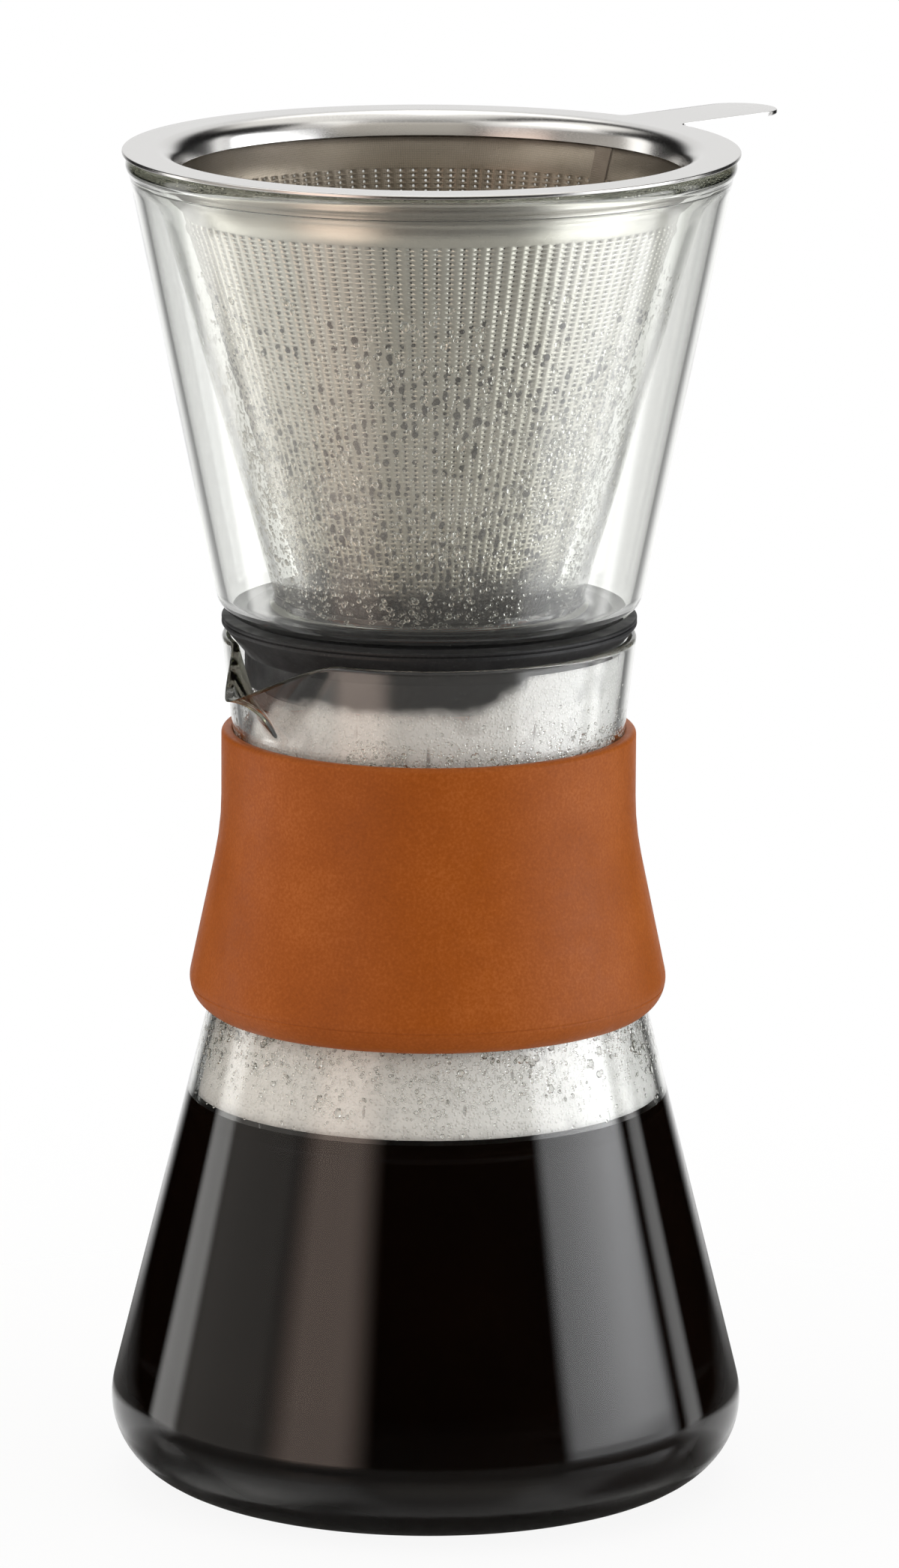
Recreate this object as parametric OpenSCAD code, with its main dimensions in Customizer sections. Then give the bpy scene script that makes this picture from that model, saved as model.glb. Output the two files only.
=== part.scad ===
// Pour-over coffee maker: a waisted glass carafe with a silicone grip sleeve, a silicone
// gasket in its mouth, a double-walled glass dripper and a two-layer steel filter.
// Millimetres, +Z up. The origin is the centre of the carafe's base, on the table.
// Seen from -Y, the spout points left and forward, the filter's tab right and back.

/* [Carafe] */
// Widest diameter of the carafe, just above its base
base_d = 124.5; // [110:0.5:140]
// Radius of the round corner between base and wall
base_corner = 15.5; // [8:0.5:20]
// Height of the carafe's rim above the table
carafe_h = 169; // [150:1:190]
// Outer diameter of the rim
rim_d = 81; // [76:0.5:90]
// Distance from the rim down to the waist
neck_h = 44; // [38:0.5:50]
// Diameter where the wall and neck lines meet, before the waist is rounded
waist_d = 71; // [66:0.5:76]
// Radius that rounds the waist
waist_round = 60; // [20:1:90]
// Thickness of the glass wall
carafe_wall = 1.8; // [1.4:0.1:2.4]
// Thickness of the glass floor
carafe_floor = 3; // [2:0.1:5]
// Radius of the fire-polished edge of the rim
lip_round = 0.85; // [0.4:0.05:0.9]

/* [Spout] */
// Direction of the spout, in degrees from +X
spout_turn = 220; // [200:1:240]
// How far the tip stands out from the rim
spout_reach = 10.5; // [6:0.5:12]
// How far the tip lies below the rim
spout_drop = 7.5; // [3:0.5:9]
// Height of the spout, from the rim to where its crease ends on the neck
spout_h = 17; // [12:0.5:19]
// Half the angle that the spout takes up on the rim
spout_spread = 23; // [16:1:28]
// Width of the spout halfway between neck and tip
spout_throat = 14; // [8:0.5:18]
// Radius of the spout's rounded edges
spout_round = 1.2; // [0.8:0.1:1.6]

/* [Grip sleeve] */
// Bare neck between the end of the spout's crease and the sleeve
sleeve_clear = 2; // [0.5:0.5:6]
// How far the sleeve reaches below the waist
sleeve_below = 31; // [20:0.5:45]
// Thickness of the sleeve at its top edge
sleeve_top_wall = 2.2; // [1.5:0.1:4]
// Thickness of the sleeve at its lower edge
sleeve_low_wall = 5; // [3:0.1:8]
// Height above the waist at which the sleeve's outside turns upright
sleeve_knee = 5.5; // [2:0.5:10]
// Radius of the sleeve's top edge
sleeve_top_round = 1.4; // [0.5:0.1:2]
// Radius of the sleeve's lower edge
sleeve_low_round = 6.3; // [2:0.1:8]
// Gap between sleeve and glass
sleeve_gap = 0.05; // [0.02:0.01:0.2]

/* [Coffee] */
// Height of the coffee's surface above the table
coffee_level = 76; // [30:1:90]
// Gap between coffee and glass
coffee_gap = 0.05; // [0.02:0.01:0.2]

/* [Gasket] */
// Height of the gasket's top above the carafe's rim
gasket_rise = 3.6; // [3.5:0.1:8]
// How far the gasket's edge stands out from the rim
gasket_overhang = 0; // [-0.5:0.1:2]
// Angle of the gasket's tapered seat, from upright
seat_angle = 40; // [38:1:48]
// Gap between the seat and the rim
seat_gap = 0.2; // [0.1:0.05:0.4]
// Depth of the plug below the carafe's rim
plug_depth = 9.5; // [8:0.5:14]
// Radial gap between the plug and the neck
plug_gap = 1.6; // [1:0.1:3]
// Depth of the groove around the gasket's edge
groove_depth = 0.5; // [0.2:0.1:1]
// Radius of the gasket's edges
gasket_round = 0.5; // [0.2:0.1:0.7]

/* [Dripper] */
// Height of the dripper, from its floor to its rim
dripper_h = 90.5; // [75:0.5:110]
// Diameter of the outer wall where its line reaches the floor
dripper_floor_d = 81.3; // [74:0.1:88]
// Diameter of the outer wall where its line reaches the rim
dripper_top_d = 118.4; // [112:0.1:128]
// Radius of the outer wall's lower corner
dripper_corner = 6; // [3:0.5:8]
// Thickness of both glass walls
dripper_wall = 1.8; // [1.4:0.1:2.2]
// Radius of the bead that joins the walls at the rim
bead_r = 2.2; // [1.9:0.1:2.6]
// How far the bead stands out from the outer wall
bead_proud = 0.3; // [0:0.1:0.8]
// Depth of the flat on top of the bead
bead_flat = 0.15; // [0.05:0.05:0.3]
// Gap between the two walls where their glass is fused
fuse_gap = 0.05; // [0.02:0.01:0.1]
// Outer diameter of the outlet, which passes through the gasket
outlet_d = 58; // [50:0.5:62]
// Length of the outlet below the floor
outlet_h = 12; // [9:0.5:14]
// Radial gap between outlet and gasket
outlet_gap = 0.1; // [0.05:0.01:0.2]
// Depth below the rim at which the inner wall begins to flare
flare_depth = 11; // [9:0.5:16]
// Narrowest space between the two walls, at the start of the flare
flare_space = 2.9; // [2:0.1:5]
// Radius that rounds the start of the flare
flare_round = 14; // [4:1:20]

/* [Filter] */
// Thickness of the rim's steel sheet
rim_sheet = 0.8; // [0.5:0.1:1]
// How far the flange stands out over the dripper's rim
flange_overhang = 0.7; // [0:0.1:3]
// Depth of the polished collar below the top of the flange
collar_depth = 4.9; // [3:0.1:8]
// Radius of the bend from flange to collar
bend_round = 1.6; // [0.9:0.1:2.5]
// Thickness of the perforated sheet
cone_sheet = 0.5; // [0.3:0.05:0.6]
// Thickness of the woven mesh
mesh_sheet = 0.25; // [0.15:0.05:0.4]
// Gap between the filter's layers, taken up by their welds
layer_gap = 0.03; // [0.01:0.01:0.1]
// Radial gap between the filter's mouth and the dripper's bead
mouth_gap = 3.1; // [2.5:0.1:4.5]
// Radial gap between the filter's base and the outlet
base_gap = 5.2; // [3:0.1:8]
// How far the filter's base hangs below the dripper's floor
base_drop = 2.2; // [0:0.1:6]
// Height of the base cap's upturned rim
cap_h = 4; // [2:0.5:8]
// Diameter of the drain holes in the base cap
drain_d = 1.6; // [0.8:0.1:2]
// Distance between the rings of drain holes
drain_pitch = 4; // [3.5:0.1:6]

/* [Tab] */
// Direction of the lifting tab, in degrees from +X
tab_turn = 43; // [0:1:90]
// Length of the tab beyond the flange
tab_len = 31; // [15:1:45]
// Width of the tab
tab_w = 15.5; // [10:0.5:24]
// Radius of the fillets at the tab's root
tab_fillet = 6; // [2:0.5:10]

/* [Hidden] */
$fn = 96;
arc_step = 9;      // degrees between the points of a rounded corner
spout_facets = 20; // sides of the spheres that round the spout
past = 5;          // how far a cutting shape runs past what it cuts

// Point on the line from a to b at height z
function on_line(a, b, z) = a + (b - a) * (z - a.y) / (b.y - a.y);

// Unit vector to the right of the way from a to b: outward on an outline that goes up the outside
function side(a, b) = [b.y - a.y, a.x - b.x] / norm(b - a);

// Point where two lines meet, each given by its normal n and its distance c from the origin
function meet(n1, c1, n2, c2) =
    [c1 * n2.y - c2 * n1.y, n1.x * c2 - n2.x * c1] / (n1.x * n2.y - n1.y * n2.x);

// Corner b of an outline a-b-c after both its sides move inward, by d1 and by d2
function moved_corner(a, b, c, d1, d2) =
    let (n1 = side(a, b), n2 = side(b, c))
    meet(n1, n1 * b - d1, n2, n2 * b - d2);

// Centre of the arc of radius r that rounds the corner a-b-c
function arc_centre(a, b, c, r) =
    let (u = (a - b) / norm(a - b), w = (c - b) / norm(c - b), m = u + w)
    b + m / norm(m) * r / sin(acos(u * w) / 2);

// Points of the corner a-b-c, rounded by r or by as much as its shorter side allows
function corner(a, b, c, r) =
    r == 0 ? [b] :
    let (
        u = (a - b) / norm(a - b),
        w = (c - b) / norm(c - b),
        half = acos(u * w) / 2,
        reach = min(r / tan(half), 0.49 * min(norm(a - b), norm(c - b))),
        radius = reach * tan(half),
        centre = arc_centre(a, b, c, radius),
        from = b + u * reach - centre,
        to = b + w * reach - centre,
        sweep = acos(max(-1, min(1, from * to / (radius * radius)))),
        way = sign(from.x * to.y - from.y * to.x),
        steps = max(2, ceil(sweep / arc_step)),
        start = atan2(from.y, from.x)
    )
    [for (i = [0 : steps])
        centre + radius * [cos(start + way * sweep * i / steps), sin(start + way * sweep * i / steps)]];

// Closed outline through points [r, z, rounding]
function rounded(points) =
    let (n = len(points), flat = [for (p = points) [p.x, p.y]])
    [for (i = [0 : n - 1]) each corner(flat[(i + n - 1) % n], flat[i], flat[(i + 1) % n], points[i][2])];

function with_round(p, r) = [p.x, p.y, r];

// Carafe: foot of the wall line, waist and rim, on the outside
rim_r = rim_d / 2;
waist = [waist_d / 2, carafe_h - neck_h];
rim = [rim_r, carafe_h];
corner_mid = [base_d / 2 - base_corner, base_corner];
wall_angle = atan2(corner_mid.x - waist.x, waist.y - corner_mid.y)
    + asin(base_corner / norm(corner_mid - waist));
foot = [waist.x + waist.y * tan(wall_angle), 0];
middle = [0, 0];

// Foot, waist and rim of the carafe's outline, moved inward by d
function carafe_foot(d, floor) = moved_corner(middle, foot, waist, floor, d);
function carafe_waist(d) = moved_corner(foot, waist, rim, d, d);
function carafe_rim(d) = on_line(carafe_waist(d), carafe_waist(d) + rim - waist, carafe_h);

// Radius of the carafe's outline, moved inward by d, on the wall and on the neck
function wall_r(d, z) = on_line(carafe_foot(d, 0), carafe_waist(d), z).x;
function neck_r(d, z) = on_line(carafe_waist(d), carafe_rim(d), z).x;

// Gasket: the seat is a cone at seat_gap from the inner edge of the rim
gasket_top = carafe_h + gasket_rise;
gasket_bottom = carafe_h - plug_depth;
gasket_r = rim_r + gasket_overhang;
bore_r = outlet_d / 2 + outlet_gap;
plug_r = neck_r(carafe_wall, gasket_bottom) - plug_gap;
lip_mid = arc_centre(rim, carafe_rim(carafe_wall), carafe_waist(carafe_wall), lip_round);
seat = lip_mid + (lip_round + seat_gap) * [-cos(seat_angle), sin(seat_angle)];
function seat_z(r) = seat.y + (r - seat.x) / tan(seat_angle);

// Dripper: the bead's centre, and the outer face of the inner wall
dripper_z = gasket_top;
dripper_top = dripper_z + dripper_h;
outlet_r = outlet_d / 2;
outlet_z = dripper_z - outlet_h;
outer_foot = [dripper_floor_d / 2, dripper_z];
outer_top = [dripper_top_d / 2, dripper_top];
bead_z = dripper_top - bead_r + bead_flat;
bead_mid = [on_line(outer_foot, outer_top, bead_z).x + bead_proud - bead_r, bead_z];
fuse_r = on_line(outer_foot, outer_top, bead_z - bead_r).x - dripper_wall;
inner_low = [outlet_r, dripper_z];
flare_z = dripper_top - flare_depth;
flare = [on_line(outer_foot, outer_top, flare_z).x - dripper_wall - flare_space, flare_z];
flare_top = [fuse_r - bead_r / 6, bead_z - bead_r / 4];

// Filter: the outer face of the perforated cone, and each layer inside it
flange_z = dripper_top;
filter_top = flange_z + rim_sheet;
flange_r = bead_mid.x + bead_r + flange_overhang;
cap_z = dripper_z - base_drop;
cone_top = [bead_mid.x - bead_r - mouth_gap, flange_z];
cone_low = [outlet_r - dripper_wall - base_gap, cap_z];
cone_in = side(cone_low, cone_top);
mesh_in = cone_sheet + layer_gap;
collar_in = mesh_in + mesh_sheet + layer_gap;
// Radius of the cone's outer face, moved inward by d, at height z
function cone_r(d, z) = on_line(cone_low - d * cone_in, cone_top - d * cone_in, z).x;

// Solid of revolution of a rounded outline
module ring(points) {
    rotate_extrude() polygon(rounded(points));
}

// Solid of revolution of the carafe's outline, moved inward by d, with its floor at the height given
module carafe_form(d, floor, top) {
    side_end = on_line(carafe_waist(d), carafe_rim(d), top);
    ring([
        [0, floor, 0],
        with_round(carafe_foot(d, floor), max(base_corner - d, 0)),
        with_round(carafe_waist(d), waist_round + d),
        with_round(side_end, 0),
        [0, top, 0]
    ]);
}

// Wall and floor of the carafe, with a fire-polished rim
module carafe_shell() {
    ring([
        [0, 0, 0],
        with_round(foot, base_corner),
        with_round(waist, waist_round),
        with_round(rim, lip_round),
        with_round(carafe_rim(carafe_wall), lip_round),
        with_round(carafe_waist(carafe_wall), waist_round + carafe_wall),
        with_round(carafe_foot(carafe_wall, carafe_floor), base_corner - carafe_wall),
        [0, carafe_floor, 0]
    ]);
}

// Stations of the spout along +X, each [distance out, half width, height of its edges, height of its keel]
function spout_stations() =
    let (
        keel_z = carafe_h - spout_h + spout_round,
        tip_x = rim_r + spout_reach - spout_round,
        tip_z = carafe_h - spout_drop - spout_round,
        root_r = rim_r - spout_round,
        root_x = root_r * cos(spout_spread),
        root_z = carafe_h - spout_round,
        keel_x = neck_r(0, keel_z) - spout_round,
        throat_x = (keel_x + tip_x) / 2
    )
    [
        [root_x, root_r * sin(spout_spread), root_z, keel_z],
        [throat_x, spout_throat / 2 - spout_round, (root_z + tip_z) / 2, (keel_z + tip_z) / 2],
        [tip_x, 0, tip_z, tip_z]
    ];

// Outside of the pressed spout, pointing along +X: two sides that meet in a keel.
// It can be drawn upward by rise, which leaves its top open when it cuts.
module spout_form(rise) {
    stations = spout_stations();
    for (i = [1, 2])
        hull()
            for (s = [stations[i - 1], stations[i]], up = [0, rise])
                for (p = [[s[0], s[1], s[2]], [s[0], -s[1], s[2]], [s[0], 0, s[3]]])
                    translate(p + [0, 0, up]) sphere(spout_round, $fn = spout_facets);
}

module carafe() {
    channel_shift = carafe_wall * 0.9; // moves the spout's inside in and up by one wall
    color([0.86, 0.9, 0.88, 0.35])
    difference() {
        union() {
            carafe_shell();
            difference() {
                rotate(spout_turn) spout_form(0);
                carafe_form(carafe_wall, carafe_floor, carafe_h + past);
            }
        }
        rotate(spout_turn)
            translate([-channel_shift, 0, channel_shift])
                spout_form(past);
    }
}

module grip_sleeve() {
    low_z = waist.y - sleeve_below;
    top_z = carafe_h - spout_h - sleeve_clear;
    knee_z = waist.y + sleeve_knee;
    top_r = neck_r(0, top_z) + sleeve_top_wall;
    low_r = wall_r(0, low_z) + sleeve_low_wall;
    color([0.71, 0.33, 0.12])
    difference() {
        ring([
            [0, low_z, 0],
            [low_r, low_z, sleeve_low_round],
            [top_r, knee_z, waist_round],
            [top_r, top_z, sleeve_top_round],
            [0, top_z, 0]
        ]);
        carafe_form(-sleeve_gap, 0, carafe_h);
    }
}

module coffee() {
    inset = carafe_wall + coffee_gap;
    bottom = carafe_floor + coffee_gap;
    color([0.1, 0.05, 0.03])
    ring([
        [0, bottom, 0],
        with_round(carafe_foot(inset, bottom), base_corner - inset),
        [wall_r(inset, coffee_level), coffee_level, 0],
        [0, coffee_level, 0]
    ]);
}

module gasket() {
    edge_z = seat_z(gasket_r);
    groove_z = (gasket_top + edge_z) / 2;
    color([0.1, 0.1, 0.11])
    difference() {
        ring([
            [bore_r, gasket_bottom, 0],
            [plug_r, gasket_bottom, gasket_round],
            [plug_r, seat_z(plug_r), 0],
            [gasket_r, edge_z, gasket_round],
            [gasket_r, gasket_top, gasket_round],
            [bore_r, gasket_top, 0]
        ]);
        rotate_extrude()
            translate([gasket_r, groove_z])
                circle(groove_depth);
    }
}

// Part of the rim bead's section that lies between two radii
module bead_part(from_r, to_r) {
    intersection() {
        translate(bead_mid) circle(bead_r);
        translate([from_r, bead_z - bead_r]) square([to_r - from_r, dripper_top - bead_z + bead_r]);
    }
}

module dripper_outer_wall() {
    wall_top = on_line(outer_foot, outer_top, bead_z);
    axis_foot = [0, dripper_z];
    inside_foot = moved_corner(axis_foot, outer_foot, outer_top, dripper_wall, dripper_wall);
    inside_top = [wall_top.x - dripper_wall, bead_z];
    fuse_top = on_line(inner_low, flare, dripper_z + dripper_wall);
    color([0.85, 0.9, 0.9, 0.3])
    rotate_extrude() {
        polygon(rounded([
            [inner_low.x + fuse_gap, inner_low.y, 0],
            with_round(outer_foot, dripper_corner),
            with_round(wall_top, 0),
            with_round(inside_top, 0),
            with_round(inside_foot, dripper_corner - dripper_wall),
            [fuse_top.x + fuse_gap, fuse_top.y, 0]
        ]));
        bead_part(fuse_r, bead_mid.x + bead_r);
    }
}

module dripper_inner_wall() {
    below = [outlet_r, outlet_z];
    flare_in = dripper_wall * side(flare, flare_top);
    color([0.8, 0.88, 0.9, 0.3])
    rotate_extrude() {
        polygon(rounded([
            [outlet_r, outlet_z, dripper_wall / 3],
            with_round(inner_low, 0),
            with_round(flare, flare_round),
            with_round(flare_top, 0),
            with_round(flare_top - flare_in, 0),
            with_round(moved_corner(inner_low, flare, flare_top, dripper_wall, dripper_wall), flare_round),
            with_round(moved_corner(below, inner_low, flare, dripper_wall, dripper_wall), 0),
            [outlet_r - dripper_wall, outlet_z, dripper_wall / 3]
        ]));
        bead_part(bead_mid.x - bead_r, fuse_r - fuse_gap);
    }
}

// Outline of the tab along +X, from inside the flange to its round end, with a fillet on each side
module tab_outline() {
    half_w = tab_w / 2;
    end_x = flange_r + tab_len - half_w;
    mid_y = half_w + tab_fillet;
    mid_x = sqrt(pow(flange_r + tab_fillet, 2) - pow(mid_y, 2));
    touch = flange_r / (flange_r + tab_fillet);
    root_x = flange_r - tab_fillet;
    translate([root_x, -half_w]) square([end_x - root_x, tab_w]);
    translate([end_x, 0]) circle(half_w);
    for (way = [-1, 1])
        difference() {
            polygon([
                [root_x, 0], [mid_x, 0], [mid_x, way * mid_y], [mid_x * touch, way * mid_y * touch],
                [root_x, way * half_w]
            ]);
            translate([mid_x, way * mid_y]) circle(tab_fillet);
        }
}

module filter_rim() {
    collar_z = filter_top - collar_depth;
    inner = collar_in + rim_sheet;
    color([0.8, 0.8, 0.79])
    union() {
        ring([
            [cone_r(collar_in, collar_z), collar_z, 0],
            [cone_r(collar_in, flange_z), flange_z, bend_round - rim_sheet / 2],
            [flange_r, flange_z, rim_sheet / 4],
            [flange_r, filter_top, rim_sheet / 4],
            [cone_r(inner, filter_top), filter_top, bend_round],
            [cone_r(inner, collar_z), collar_z, 0]
        ]);
        difference() {
            rotate(tab_turn)
                translate([0, 0, flange_z])
                    linear_extrude(rim_sheet)
                        tab_outline();
            cylinder(h = filter_top + past, r = flange_r - tab_fillet / 2);
        }
    }
}

// One layer of the filter's cone: its outer face lies d inside the perforated cone's
module cone_layer(d, sheet, low_z) {
    top_z = flange_z - bend_round;
    ring([
        [cone_r(d, low_z), low_z, 0],
        [cone_r(d, top_z), top_z, 0],
        [cone_r(d + sheet, top_z), top_z, 0],
        [cone_r(d + sheet, low_z), low_z, 0]
    ]);
}

module filter_outer_cone() {
    color([0.72, 0.7, 0.66])
    cone_layer(0, cone_sheet, cap_z);
}

module filter_mesh_cone() {
    color([0.55, 0.5, 0.44])
    cone_layer(mesh_in, mesh_sheet, cap_z);
}

// Shallow cup around the foot of the cone, with rings of drain holes
module filter_base_cap() {
    wall_out = -layer_gap - cone_sheet;
    low_z = cap_z - layer_gap - cone_sheet;
    top_z = cap_z + cap_h;
    ring_count = floor((cone_low.x - cone_sheet - drain_d) / drain_pitch);
    color([0.66, 0.65, 0.62])
    difference() {
        ring([
            [0, low_z, 0],
            [cone_r(wall_out, low_z), low_z, cone_sheet],
            [cone_r(wall_out, top_z), top_z, 0],
            [cone_r(-layer_gap, top_z), top_z, 0],
            [cone_r(-layer_gap, cap_z - layer_gap), cap_z - layer_gap, 0],
            [0, cap_z - layer_gap, 0]
        ]);
        for (ring_no = [1 : ring_count], turn = [0 : 360 / (6 * ring_no) : 359])
            rotate(turn)
                translate([ring_no * drain_pitch, 0, low_z - past])
                    cylinder(h = 2 * past, d = drain_d, $fn = 16);
    }
}

// Disc of woven mesh on the base cap, inside the mesh cone
module filter_mesh_disc() {
    disc_in = collar_in;
    top_z = cap_z + mesh_sheet;
    color([0.5, 0.46, 0.4])
    ring([
        [0, cap_z, 0],
        [cone_r(disc_in, cap_z), cap_z, 0],
        [cone_r(disc_in, top_z), top_z, 0],
        [0, top_z, 0]
    ]);
}

carafe();
grip_sleeve();
coffee();
gasket();
dripper_outer_wall();
dripper_inner_wall();
filter_rim();
filter_outer_cone();
filter_mesh_cone();
filter_base_cap();
filter_mesh_disc();
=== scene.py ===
"""Looks of a glass pour-over coffee maker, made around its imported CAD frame.

Lengths are in mm until MM turns them into metres.
"""

import math

import bpy
import numpy as np
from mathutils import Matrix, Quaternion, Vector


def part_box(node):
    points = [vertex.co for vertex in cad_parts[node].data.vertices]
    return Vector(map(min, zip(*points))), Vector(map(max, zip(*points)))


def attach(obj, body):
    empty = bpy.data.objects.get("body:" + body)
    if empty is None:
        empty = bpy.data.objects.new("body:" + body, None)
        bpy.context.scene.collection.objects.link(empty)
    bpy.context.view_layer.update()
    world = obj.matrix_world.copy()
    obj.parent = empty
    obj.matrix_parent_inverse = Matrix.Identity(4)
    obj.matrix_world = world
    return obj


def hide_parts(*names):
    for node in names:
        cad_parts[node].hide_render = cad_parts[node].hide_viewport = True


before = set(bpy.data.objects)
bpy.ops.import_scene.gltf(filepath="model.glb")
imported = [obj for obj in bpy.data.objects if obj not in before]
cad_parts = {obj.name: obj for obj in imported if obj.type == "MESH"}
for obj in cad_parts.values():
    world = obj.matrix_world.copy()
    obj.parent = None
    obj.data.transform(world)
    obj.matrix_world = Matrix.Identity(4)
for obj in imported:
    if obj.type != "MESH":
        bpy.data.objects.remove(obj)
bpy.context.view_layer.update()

MM = 0.001
ARC_STEP = 6.0
TURN_STEP = 2.0
FINE_TURN = 0.5
GLASS_STEP = 3.0
ON_AXIS = 1e-6
MAP_EDGE = 0.02


# Sizes, from the frame where it holds them

def low_of(node):
    return round(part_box(node)[0].z / MM, 2)


def top_of(node):
    return round(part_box(node)[1].z / MM, 2)


def reach_of(node):
    return round(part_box(node)[1].x / MM, 1)


def point(r, z):
    return np.array((r, z), float)


CARAFE_H = top_of("carafe")
BASE_R = reach_of("carafe")
BASE_CORNER = 15.5
WAIST_R = 35.5
NECK_H = 44.0
RIM_R = 40.5
WAIST_ROUND = 60.0
CARAFE_WALL = 1.8
CARAFE_FLOOR = 3.0
HEEL_ROUND = 20.0
LIP_ROUND = 0.85

SPOUT_TURN = 220.0
SPOUT_SPREAD = 23.0
SPOUT_REACH = 10.5
SPOUT_DROP = 7.5
SPOUT_H = 17.0
SPOUT_MARGIN = 2.0
SPOUT_NARROW = 0.4
SPOUT_CREASE = 0.05
SPOUT_FALL_OFF = 1.7
SPOUT_SWEEP = 1.25

SLEEVE_LOW = low_of("grip_sleeve")
SLEEVE_TOP = top_of("grip_sleeve")
SLEEVE_BELOW = 31.0
SLEEVE_TOP_WALL = 2.2
SLEEVE_LOW_WALL = 5.0
SLEEVE_LOW_ROUND = 6.3
SLEEVE_KNEE = 5.5
SLEEVE_GAP = 0.05
SLEEVE_TOP_ROUND = 1.4
SLEEVE_INNER_ROUND = 0.5
SLEEVE_LIP = 0.2
PARTING_UP = 5.2
PARTING_DEEP = 0.14
PARTING_WIDE = 0.16

COFFEE_TOP = top_of("coffee")
COFFEE_SINK = 0.06
MENISCUS = 1.1
MENISCUS_STEEP = 0.35
MENISCUS_FOOT = 0.12
MENISCUS_WIDE = 3.0

GASKET_TOP = top_of("gasket")
GASKET_LOW = low_of("gasket")
GASKET_R = 40.5
GASKET_EDGE = 1.57
SEAT_ANGLE = 40.0
PLUG_R = 36.0
BORE_R = 29.1
BORE_ROUND = 0.3
PLUG_ROUND = 0.6
EDGE_ROUND = 0.35
GROOVE_DEEP = 0.35
GROOVE_WIDE = 0.12

DRIPPER_Z = low_of("dripper_outer_wall")
DRIPPER_TOP = top_of("dripper_outer_wall")
OUTLET_Z = low_of("dripper_inner_wall")
OUTLET_R = 29.0
DRIPPER_FLOOR_R = 40.65
DRIPPER_TOP_R = 59.2
DRIPPER_CORNER = 6.0
DRIPPER_WALL = 1.8
BEAD_R = 2.2
BEAD_PROUD = 0.3
BEAD_FLAT = 0.15
BEAD_START = -43.7
BEAD_END = 155.0
OUTLET_ROUND = 0.8
INNER_FOOT_ROUND = 1.2
INNER_FOOT_IN_ROUND = 3.0
CAVITY_FOOT_ROUND = 2.5
CAVITY_ROOF_ROUND = 0.4
CAVITY_ROOF_UP = 0.2
FLARE_DEPTH = 11.0
FLARE_SPACE = 2.9
FLARE_ROUND = 14.0

FILTER_TOP = top_of("filter_rim")
RIM_SHEET = 0.8
FLANGE_R = 59.78
COLLAR_SHEET = 0.4
COLLAR_DEPTH = 4.7
BEND_ROUND = 4.0
SHEET_DROP = 2.9
CONE_TOP_R = 51.58
CONE_LOW_R = 22.0
CONE_LOW_Z = 170.4
CONE_SHEET = 0.5
MESH_SHEET = 0.25
LAYER_GAP = 0.03
TAB_TURN = 43.0
TAB_LEN = 31.0
TAB_W = 15.5
TAB_FILLET = 2.0
TAB_HALF_TURN = 13.0
TAB_FROM = 2.5
TAB_BLEND = 2.2
COLLAR_END_ROUND = 0.1
FLANGE_LOW_ROUND = 0.25
FLANGE_TOP_ROUND = 0.3

MESH_WIRES = (("X", 1180), ("Y", 760))
MESH_SEAM = 0.13
MESH_SEAM_HALF = 0.006
HOLE_COLUMNS = 120
HOLE_PITCH = 1.03
HOLE_R = 0.29
HOLES_FROM_Z = 253.0
HOLES_TO_Z = 175.0


# Outlines in the r-z plane

def on_line(a, b, z):
    return a + (b - a) * (z - a[1]) / (b[1] - a[1])


def side(a, b):
    """Unit vector to the right of the way from a to b."""
    way = b - a
    return point(way[1], -way[0]) / np.hypot(*way)


def moved_corner(a, b, c, first, second):
    """Corner b of the outline a-b-c after its sides move inward."""
    n1 = side(a, b)
    n2 = side(b, c)
    return np.linalg.solve(np.array((n1, n2)), (n1 @ b - first, n2 @ b - second))


def arc(centre, radius, start, end):
    """Points on a circle, from one angle to another in degrees."""
    steps = max(3, math.ceil(abs(end - start) / ARC_STEP))
    angles = np.radians(np.linspace(start, end, steps + 1))
    return [centre + radius * point(math.cos(a), math.sin(a)) for a in angles]


def corner(a, b, c, rounding):
    """Points that round the corner a-b-c."""
    if rounding == 0:
        return [b]
    u = (a - b) / np.hypot(*(a - b))
    w = (c - b) / np.hypot(*(c - b))
    half = math.acos(np.clip(u @ w, -1, 1)) / 2
    room = 0.49 * min(np.hypot(*(a - b)), np.hypot(*(c - b)))
    reach = min(rounding / math.tan(half), room)
    radius = reach * math.tan(half)
    middle = u + w
    centre = b + middle / np.hypot(*middle) * radius / math.sin(half)
    first = b + u * reach - centre
    last = b + w * reach - centre
    start = math.degrees(math.atan2(first[1], first[0]))
    sweep = math.degrees(math.atan2(last[1], last[0])) - start
    sweep = (sweep + 180) % 360 - 180
    return arc(centre, radius, start, start + sweep)


def rounded(points):
    """Outline through points (r, z, rounding)."""
    flat = [point(p[0], p[1]) for p in points]
    count = len(points)
    outline = []
    for i in range(count):
        outline += corner(flat[i - 1], flat[i], flat[(i + 1) % count], points[i][2])
    return outline


def with_round(p, rounding):
    return (p[0], p[1], rounding)


def split(outline, step, closed=True):
    """The outline with no piece longer than step, which is a length or a rule for a height."""
    result = []
    count = len(outline)
    for i in range(count if closed else count - 1):
        a = outline[i]
        b = outline[(i + 1) % count]
        most = step((a[1] + b[1]) / 2) if callable(step) else step
        parts = max(1, math.ceil(np.hypot(*(b - a)) / most - 1e-6))
        result += [a + (b - a) * k / parts for k in range(parts)]
    if not closed:
        result.append(outline[-1])
    return result


# Turned meshes

def even_turn():
    return np.arange(0, 360, TURN_STEP)


def turn_with_fine(middle, half, fine, step=TURN_STEP):
    """Angles around the axis, with smaller steps near one direction."""
    near = middle - half + np.arange(0, 2 * half, fine)
    rest = middle + half + np.arange(0, 360 - 2 * half, step)
    return np.concatenate((near, rest))


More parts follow.
